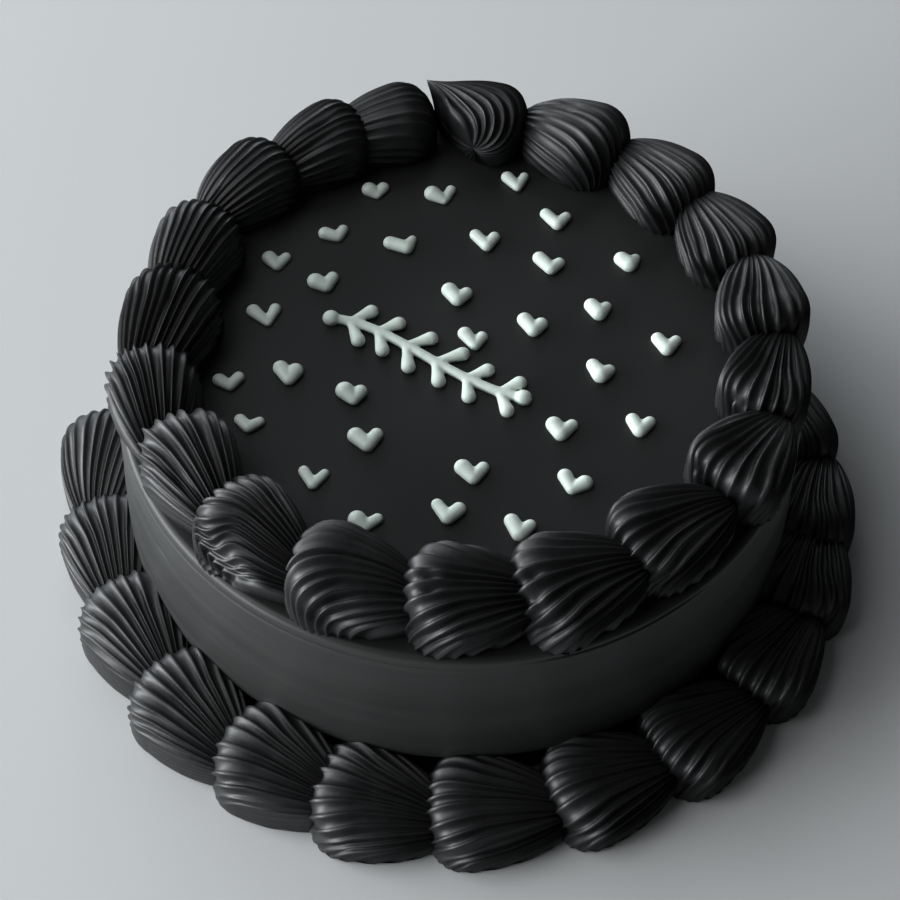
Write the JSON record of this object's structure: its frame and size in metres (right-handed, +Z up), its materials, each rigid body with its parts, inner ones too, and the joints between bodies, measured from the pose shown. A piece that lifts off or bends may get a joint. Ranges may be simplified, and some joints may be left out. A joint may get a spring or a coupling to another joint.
{
  "type": "layer cake",
  "caption": "Round iced layer cake with a smooth wall and top, a border of piped shells on its top edge and a larger one around its foot.",
  "frame": {"origin": "centre of the cake's flat underside", "axes": "+Z up along the cake's axis; -Y is the side the picture was taken from, +X to the right of it"},
  "size_m": [0.1993, 0.2033, 0.0666],
  "materials": {
    "smooth_cream": "charcoal buttercream, smoothed with a scraper, satin",
    "piped_cream": "charcoal buttercream, piped with a fluted tip, satin"
  },
  "bodies": {
    "root": {"cake": "smooth_cream", "top_shell_00": "piped_cream", "top_shell_01": "piped_cream", "top_shell_02": "piped_cream", "top_shell_03": "piped_cream", "top_shell_04": "piped_cream", "top_shell_05": "piped_cream", "top_shell_06": "piped_cream", "top_shell_07": "piped_cream", "top_shell_08": "piped_cream", "top_shell_09": "piped_cream", "top_shell_10": "piped_cream", "top_shell_11": "piped_cream", "top_shell_12": "piped_cream", "top_shell_13": "piped_cream", "top_shell_14": "piped_cream", "top_shell_15": "piped_cream", "top_shell_16": "piped_cream", "top_shell_17": "piped_cream", "top_shell_18": "piped_cream", "foot_shell_00": "piped_cream", "foot_shell_01": "piped_cream", "foot_shell_02": "piped_cream", "foot_shell_03": "piped_cream", "foot_shell_04": "piped_cream", "foot_shell_05": "piped_cream", "foot_shell_06": "piped_cream", "foot_shell_07": "piped_cream", "foot_shell_08": "piped_cream", "foot_shell_09": "piped_cream", "foot_shell_10": "piped_cream", "foot_shell_11": "piped_cream", "foot_shell_12": "piped_cream", "foot_shell_13": "piped_cream", "foot_shell_14": "piped_cream", "foot_shell_15": "piped_cream", "foot_shell_16": "piped_cream", "foot_shell_17": "piped_cream", "foot_shell_18": "piped_cream", "foot_shell_19": "piped_cream", "foot_shell_20": "piped_cream", "foot_shell_21": "piped_cream", "foot_shell_22": "piped_cream"}
  },
  "joints": []
}
